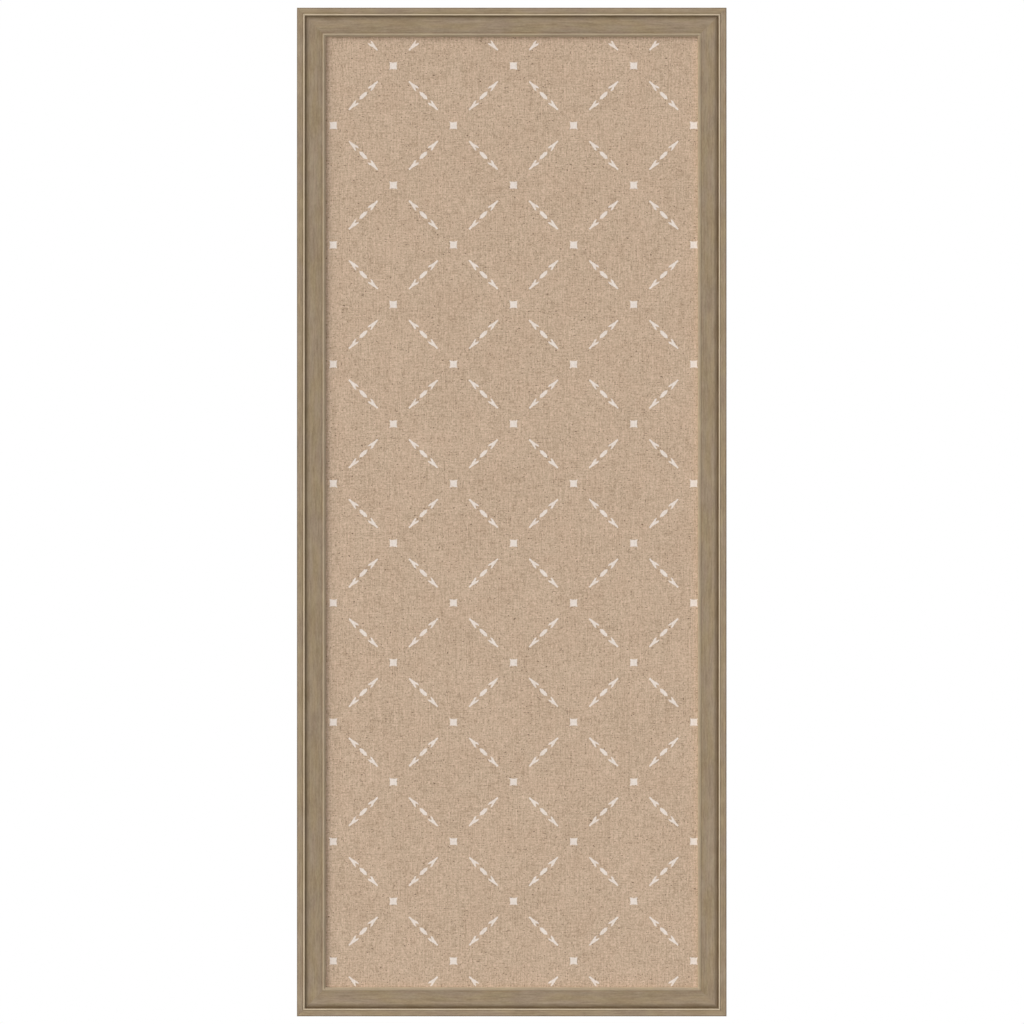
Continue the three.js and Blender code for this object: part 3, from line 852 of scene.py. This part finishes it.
def printInk():
    # the cloth's threads show faintly through the paint, which is thin in the gaps between them
    material, shader = newMaterial("printInk", roughness=0.85, specular=0.25)
    place = surfacePlace(shader)
    tone, height = plainWeave(place)
    shade = clothShade(place, tone, height)
    cover = layered(place, linen["inkCover"], [(0.7, shade), (0.6, height)], clamp=True)
    feed(shader, "Base Color", mixed(cover, linen["inkDark"], linen["inkLight"]))
    bump(shader, height, linen["weaveRise"])
    return material


cloth = addLinen(naturalLinen())
ink = addPrint(printInk())
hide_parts("linen_cover")

# back of the frame: kraft paper glued over the panel and most of the moulding
paper = {
    "thickness": 0.25,
    "sag": 0.9,  # how far it hangs in over the hollow behind the panel
    "bowl": 0.6,  # share of the sag that the bowl past the slope has
    "slope": 4,  # width of its slope down from the wood
    "ripple": 0.28,
    "rippleLength": 46,
    "rippleReach": 170,  # from each corner of the hollow
    "gridPitch": 4,
    "raggedCut": 0.2,
    "raggedBand": 1,  # width along the paper's edges that the cut moves
    "brown": "ae8b64",
    "brownDark": "967553",
    "clouds": [(0.8, (2.2, 2.2), 3), (0.4, (70, 30), 2, (3, 1)), (0.25, (0.8, 24), 1, (6, 5))],
    "glued": "886748",  # where glue has soaked into it, over the wood
    "gluedShare": 0.32,
    "gluedEdge": (-1.5, 0.5),  # past the hollow's edge
    "fibres": [(0.35, "c4a379"), (1.25, "86664a"), (1.75, "c4a379"), (2.8, "86664a")],  # turn, colour
    "fibreSize": (2.6, 0.22),
    "fibreShare": 0.4,
    "grainDepth": 0.05,
}
# half the opening behind the panel
hollow = [side / 2 / mm - backWidth for side in (boardWidth, boardHeight)]


def paperFall(x, z):
    # how far forward the paper lies: a slope off the wood, a shallow bowl past it, and near the corners
    # ripples that run towards the middle
    inside = [half - np.abs(place) for half, place in zip(hollow, (x, z))]
    slope = [np.clip(depth / paper["slope"], 0, 1) for depth in inside]
    weight = slope[0] * slope[1]
    weight = weight**2 * (3 - 2 * weight)
    bowl = (1 - (x / hollow[0]) ** 2) * (1 - (z / hollow[1]) ** 2)
    across, along = (inside[0] - inside[1]) / math.sqrt(2), np.hypot(*inside)
    fade = np.exp(-((along / paper["rippleReach"]) ** 2))
    ripples = np.sin(2 * math.pi * across / paper["rippleLength"] + 1) * fade
    return weight * (paper["sag"] * (1 - paper["bowl"] * (1 - bowl)) + paper["ripple"] * (1 + ripples))


def addPaper(material):
    # a grid for the back skin, its lines closer down the slope, the same one a thickness further in, and a
    # strip round their borders
    low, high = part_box("dust_cover")
    half = [high.x / mm, high.z / mm]
    lines = []
    for side, opening in zip(half, hollow):
        even = np.linspace(-side, side, int(2 * side / paper["gridPitch"]) + 1)
        slope = opening - paper["slope"] * np.linspace(0, 1, 6)
        clear = np.abs(np.abs(even) - slope.mean()) > paper["slope"] * 0.6
        lines.append(np.union1d(even[clear], [*slope, *-slope]))
    x, z = np.meshgrid(*lines)
    rows, columns = x.shape
    rng = np.random.default_rng(31)
    cut = sum(smoothed(rng.standard_normal(x.shape), axis, 3) for axis in (0, 1))
    cut = np.clip(cut * paper["raggedCut"], 0, paper["raggedCut"])
    edges = [np.abs(line) > side - paper["raggedBand"] for line, side in zip((x, z), half)]
    x, z = x - np.sign(x) * cut * edges[0], z - np.sign(z) * cut * edges[1]
    back = high.y / mm - paperFall(x, z)
    skins = np.stack([stacked(x, back - shift, z) for shift in (0, paper["thickness"])])
    border = gridBorder(rows, columns)
    sides = np.stack([border, border + x.size]).ravel()
    grid = gridFaces(rows, columns)
    faces = [*grid, *(grid + x.size), *sides[gridFaces(2, len(border), wrap=True)]]
    points = skins.reshape(-1, 3)
    sheet = addPiece("kraft_paper", points, faces, material, uv=points[:, [0, 2]], sharp=50)
    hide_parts("dust_cover")


def kraftPaper():
    # soft clouds and fibres in four directions, darker where glue has soaked in
    material, shader = newMaterial("kraftPaper", roughness=0.8, specular=0.3)
    place = surfacePlace(shader)
    clouds = layered(place, 0.4, paper["clouds"])
    brown = mixed(clamped(clouds), paper["brown"], paper["brownDark"])
    split = axes(place)
    sides = [mathNode("ABSOLUTE", split[axis]) for axis in "XY"]
    past = [mathNode("SUBTRACT", side, half * mm) for side, half in zip(sides, hollow)]
    edge = [depth * mm for depth in paper["gluedEdge"]]
    glued = spread(mathNode("MAXIMUM", *past), *edge, 0, paper["gluedShare"])
    brown = mixed(glued, brown, paper["glued"])
    for angle, tone in paper["fibres"]:
        inputs = {"Vector": place, "Angle": angle}
        turned = addNode(shader.id_data, "ShaderNodeVectorRotate", inputs, rotation_type="Z_AXIS")
        strands = noise(turned.outputs[0], paper["fibreSize"], 2)
        fibre = spread(strands, 0.62, 0.8, 0, paper["fibreShare"])
        brown = mixed(fibre, brown, tone)
    feed(shader, "Base Color", brown)
    bump(shader, clouds, paper["grainDepth"])
    return material


addPaper(kraftPaper())
print("paper glued on")

# hangers: a strap rolled round the ring's bar, two screws through it, and the ring
hanger = {
    "strapHalfWidth": 7,
    "steel": 0.9,
    "steelEdge": 0.3,
    "strapCorner": 4,
    "barrelRadius": 2.2,
    "rollGap": 0.3,
    "wireRadius": 1,
    "ringSideGap": 0.4,
    "ringBend": 2.2,
    "ringReach": 13,
    "arcHandle": 0.5523,  # length of a handle that makes a quarter bend round
    "wireSides": 20,
    "nickel": (0.40, 0.385, 0.35, 1),
    "nickelDull": (0.24, 0.225, 0.20, 1),
    "dullShare": 0.35,
    "roughness": 0.15,
    "rubRoughness": 0.3,
    "rubDepth": 0.02,
    "rub": [(0.6, (6, 6, 6), 3), (0.6, (0.25, 3, 3), 1, (1, 2, 3))],
}
screw = {
    "length": 12,
    "tip": 3,
    "radius": 1.6,
    "core": 1.2,
    "threadPitch": 1.25,
    "threadWidth": 0.32,  # half of it, as a share of the pitch
    "sides": 96,
    "shankRows": 97,
    "domeRows": 60,
    "headRadius": 3.2,
    "headRim": 0.7,
    "headDome": 1.1,
    "headEdge": 0.3,
    "slot": 0.5,  # half the width of the cross at the surface
    "slotWall": 0.26,
    "slotEnd": 0.45,
    "slotReach": 1.75,
    "slotDepth": 0.95,
}
bumper = {
    "radius": 6,
    "edge": 0.8,
    "dish": 0.25,
    "overlap": 0.08,  # how far it sinks into the wood
    "frontRadius": 5.94,
    "frontSide": 0.1,
    "sides": 48,
    "rubber": "2b2724",
    "dust": "4a443e",
}


def brushedNickel():
    # one rubbed noise dulls, roughens and scratches the metal
    material, shader = newMaterial("nickelPlating", metallic=1)
    rub = layered(objectPlace(shader), 0.5, hanger["rub"])
    feed(shader, "Roughness", mathNode("MULTIPLY_ADD", rub, hanger["rubRoughness"], hanger["roughness"]))
    tint = spread(rub, 0.3, 0.9, 0, hanger["dullShare"], smooth=False)
    feed(shader, "Base Color", mixed(tint, hanger["nickel"], hanger["nickelDull"]))
    bump(shader, rub, hanger["rubDepth"], 0.4)
    return material


def sweep(centre, side, out, halfWidth, halfThick, edge):
    # a rounded bar: at each centre its section spans halfWidth along side and halfThick along out
    turn = quarterTurn(4)
    angle = np.concatenate([turn + quarter * math.pi / 2 for quarter in range(4)])
    cornerX = np.repeat([1, -1, -1, 1], 4) * (halfWidth[:, None] - edge) + edge * np.cos(angle)
    cornerY = np.repeat([1, 1, -1, -1], 4) * (halfThick - edge) + edge * np.sin(angle)
    points = centre[:, None] + cornerX[..., None] * side[:, None] + cornerY[None, :, None] * out[:, None]
    rows, columns = points.shape[:2]
    return points, [*gridFaces(rows, columns, wrap=True), *endFaces(rows, columns)]


def addStrap(name, node, axis, material):
    # up from the tail along the paper, then round the axis at the barrel's middle radius; the tail's
    # corners are arcs, so the width there follows a circle
    size = hanger
    middle = size["barrelRadius"] - size["steel"] / 2
    length = axis[2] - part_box(node)[0].z / mm
    corner = size["strapCorner"] * (1 - np.cos(quarterTurn(9)))
    rise = np.concatenate([corner, np.linspace(size["strapCorner"], length, 6)[1:]])
    bore = size["barrelRadius"] - size["steel"]
    rollEnd = -math.pi + math.acos((bore - size["rollGap"]) / size["barrelRadius"])
    angle = np.linspace(math.pi, rollEnd, 30)[1:]
    flat = stacked(0, -middle, rise - length)
    roll = stacked(0, middle * np.cos(angle), middle * np.sin(angle))
    centre = np.concatenate([flat, roll])
    out = centre * (0, 1, 1) / middle
    out[: len(rise)] = (0, -1, 0)
    width = np.full(len(centre), float(size["strapHalfWidth"]))
    below = np.clip(size["strapCorner"] - rise, 0, None)
    width[: len(rise)] += np.sqrt(size["strapCorner"] ** 2 - below**2) - size["strapCorner"]
    side = np.broadcast_to([1.0, 0, 0], centre.shape)
    points, faces = sweep(centre + axis, side, out, width, size["steel"] / 2, size["steelEdge"])
    strap = addPiece(name, points, faces, material)
    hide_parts(node)


def addRing(name, node, body, axis, material):
    # a straight bar on the axis and a bow below it, of four quarter bends, each a Bezier arc
    size = hanger
    barHalf = size["strapHalfWidth"] + size["ringSideGap"]
    side = barHalf + size["ringBend"]
    bends = [
        ((barHalf, 0), (side, 0), (side, -size["ringBend"])),
        ((side, -size["ringBend"]), (side, -size["ringReach"]), (0, -size["ringReach"])),
    ]
    t = np.linspace(0, 1, 33)[:-1, None]
    arcs = []
    for start, corner, end in np.array(bends, float):
        near = start + (corner - start) * size["arcHandle"]
        far = end + (corner - end) * size["arcHandle"]
        arc = (1 - t) ** 3 * start + 3 * t * (1 - t) ** 2 * near + 3 * t**2 * (1 - t) * far + t**3 * end
        arcs.append(arc)
    half = np.concatenate([stacked(np.linspace(0, barHalf, 9)[:-1], 0), *arcs])
    wire = np.concatenate([half, [[0, -size["ringReach"]]], half[:0:-1] * (-1, 1)])
    along = np.roll(wire, -1, axis=0) - np.roll(wire, 1, axis=0)
    along /= np.linalg.norm(along, axis=1, keepdims=True)
    centre = stacked(wire[:, 0], 0, wire[:, 1])
    across = stacked(along[:, 1], 0, -along[:, 0])
    phi = np.linspace(0, 2 * math.pi, size["wireSides"] + 1)[:-1, None]
    outward = across[:, None] * np.cos(phi) + np.array([0, 1, 0]) * np.sin(phi)
    points = centre[:, None] + axis + size["wireRadius"] * outward
    points = np.concatenate([points, points[:1]])
    faces = gridFaces(len(points), size["wireSides"], wrap=True)
    ring = addPiece(name, points, faces, material, body=body, merge=1e-6)
    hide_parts(node)


def lathe(radius, height, columns):
    # a profile turned about Y: rows of radius and height, the first and last on the axis
    phi = np.linspace(0, 2 * math.pi, columns + 1)[:-1]
    x, z = radius[:, None] * np.cos(phi), radius[:, None] * np.sin(phi)
    points = stacked(x, height[:, None], z)
    return points, gridFaces(len(radius), columns, wrap=True), phi


def addScrew(name, node, material):
    # head: a dome with a cross pressed in, then its rim; shank: a core whose thread climbs a pitch a turn
    size = screw
    low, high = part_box(node)
    middle = (low + high) / 2 / mm
    under = high.y / mm - size["headRim"] - size["headDome"]
    dome = np.linspace(math.pi / 2, 0, size["domeRows"])
    domeHeight = size["headRim"] + size["headDome"] * np.sin(dome)
    rim = size["headEdge"] * np.array([0, 0.1, 0.4, 1])
    headRadius = np.concatenate([size["headRadius"] * np.cos(dome), size["headRadius"] - rim])
    shank = np.linspace(0, -size["length"], size["shankRows"])
    taper = np.clip((shank + size["length"]) / size["tip"], 0, 1)
    radius = np.concatenate([headRadius, size["core"] * taper])
    height = np.concatenate([domeHeight, rim[::-1], shank])
    points, faces, phi = lathe(radius, height, size["sides"])
    near, far = np.sort(np.abs(points[: len(dome), :, [0, 2]]), axis=-1).transpose(2, 0, 1)
    slot = np.clip((size["slot"] - near) / size["slotWall"], 0, 1)
    slot *= np.clip((size["slotReach"] - far) / size["slotEnd"], 0, 1)
    points[: len(dome), :, 1] -= size["slotDepth"] * slot
    turn = (shank[:, None] / size["threadPitch"] - phi / (2 * math.pi)) % 1
    ridge = np.clip(1 - np.abs(turn - 0.5) / size["threadWidth"], 0, 1)
    thread = 1 + (size["radius"] / size["core"] - 1) * ridge
    points[-len(shank):, :, [0, 2]] *= thread[..., None]
    points += (middle.x, under, middle.z)
    piece = addPiece(name, points, faces, material, merge=1e-6, sharp=35)
    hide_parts(node)


def addBumper(name, node, material):
    # a round foot: flat behind, a rounded edge and a shallow dish where it meets the wall
    size = bumper
    low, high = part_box(node)
    middle = (low + high) / 2 / mm
    turn = quarterTurn(8)
    depth = (high.y - low.y) / mm
    dish = np.linspace(0, size["radius"] - size["edge"], 12)
    edgeRadius = size["radius"] - size["edge"] * (1 - np.sin(turn))
    radius = np.concatenate([dish, edgeRadius, [size["radius"], size["frontRadius"], 0]])
    dip = size["dish"] * (1 + np.cos(math.pi * dish / dish[-1])) / 2
    front = [size["frontSide"], -size["overlap"], -size["overlap"]]
    height = np.concatenate([depth - dip, depth - size["edge"] * (1 - np.cos(turn)), front])
    points, faces, _ = lathe(radius, height, size["sides"])
    points += (middle.x, low.y / mm, middle.z)
    piece = addPiece(name, points, faces, material, merge=1e-6)
    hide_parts(node)


def softRubber():
    # black with pale dust
    material, shader = newMaterial("softRubber", roughness=0.6, specular=0.4)
    place = objectPlace(shader)
    dust = spread(noise(place, (1.2, 1.2, 1.2), 3), 0.4, 0.9)
    feed(shader, "Base Color", mixed(dust, bumper["rubber"], bumper["dust"]))
    bump(shader, noise(place, (0.3, 0.3, 0.3), 1), 0.03)
    return material


nickel = brushedNickel()
rubber = softRubber()
for side in ("left", "right"):
    low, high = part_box(f"{side}_d_ring")
    axis = np.array([(low.x + high.x) / 2, (low.y + high.y) / 2, high.z]) / mm
    axis[2] -= hanger["wireRadius"]
    addStrap(f"hanger_strap_{side}", f"{side}_strap_hanger", axis, nickel)
    addRing(f"hanger_ring_{side}", f"{side}_d_ring", f"{side}_ring", axis, nickel)
    for place in ("upper", "lower"):
        addScrew(f"hanger_screw_{side}_{place}", f"{side}_{place}_screw", nickel)
    addBumper(f"bumper_{side}", f"{side}_bumper", rubber)
print("hangers, screws and bumpers made")


# inside: the layers and fasteners that keep their plain shape
plainParts = {
    "granule": 2.2,
    "cork": "b98a58",
    "corkDark": "8a5f38",
    "corkGap": "5b3c23",
    "fibre": "7a5335",
    "fibreDark": "553720",
    "fibres": [(0.9, (1.5, 1.5, 1.5), 4), (0.4, (30, 30, 30), 2, (2, 2, 2))],
    "zinc": (0.42, 0.43, 0.44, 1),
    "zincLight": (0.58, 0.59, 0.60, 1),
    "spangle": ((1.5, 1.5, 1.5), 3),
}


def granules():
    # cells in two browns with dark gaps between them
    material, shader = newMaterial("pressedCork", roughness=0.9)
    tree = shader.id_data
    inputs = {"Vector": objectPlace(shader), "Scale": [1 / (plainParts["granule"] * mm)] * 3}
    mapping = addNode(tree, "ShaderNodeMapping", inputs)
    cells = addNode(tree, "ShaderNodeTexVoronoi", {"Vector": mapping.outputs[0], "Scale": 1})
    tone = addNode(tree, "ShaderNodeSeparateColor", {0: cells.outputs["Color"]}).outputs[0]
    gap = spread(cells.outputs["Distance"], 0.45, 0.8)
    cork = mixed(tone, plainParts["cork"], plainParts["corkDark"])
    feed(shader, "Base Color", mixed(gap, cork, plainParts["corkGap"]))
    bump(shader, cells.outputs["Distance"], 0.3)
    return material


def pressedFibre():
    material, shader = newMaterial("pressedFibre", roughness=0.6)
    fibres = layered(objectPlace(shader), 0.5, plainParts["fibres"])
    feed(shader, "Base Color", mixed(fibres, plainParts["fibre"], plainParts["fibreDark"]))
    bump(shader, fibres, 0.05, 0.4)
    return material


def dullSteel():
    material, shader = newMaterial("zincedSteel", roughness=0.45, metallic=1)
    spangle = noise(objectPlace(shader), *plainParts["spangle"])
    feed(shader, "Base Color", mixed(spangle, plainParts["zinc"], plainParts["zincLight"]))
    return material


insideFinish = {"cork_board": granules(), "hardboard_backing": pressedFibre()}
zinced = dullSteel()
for name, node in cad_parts.items():
    if name in insideFinish or name.startswith(("v_nail", "framing_point")):
        node.material_slots[0].material = insideFinish.get(name, zinced)
print("inner layers and fasteners finished")
